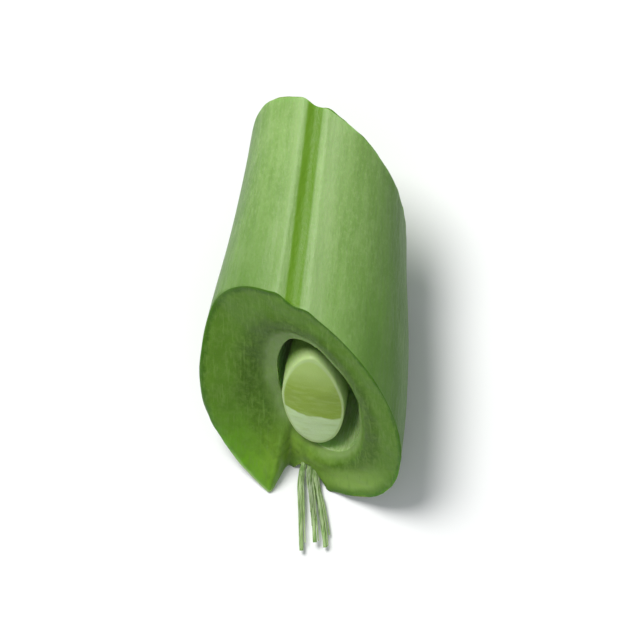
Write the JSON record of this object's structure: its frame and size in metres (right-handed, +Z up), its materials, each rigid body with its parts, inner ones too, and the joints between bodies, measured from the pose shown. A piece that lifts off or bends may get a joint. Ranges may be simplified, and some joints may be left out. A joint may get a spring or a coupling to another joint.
{
  "type": "green bean slice",
  "caption": "Diagonal slice of a fresh green bean pod lying on its suture, with a cut seed in its chamber and loose suture strings.",
  "frame": {"origin": "middle of the slice's box at the surface it lies on", "axes": "+Y along the pod away from the open cut, +X to the right seen from the open cut, +Z up through the upper suture"},
  "size_m": [0.0114, 0.0234, 0.0102],
  "materials": {
    "pod": "satin green skin, moist cut flesh",
    "seed": "moist, slightly glossy",
    "string": "translucent pale fibre"
  },
  "bodies": {
    "root": {"pod": "pod", "seed": "seed", "string_left": "string", "string_middle": "string", "string_right": "string"}
  },
  "joints": []
}
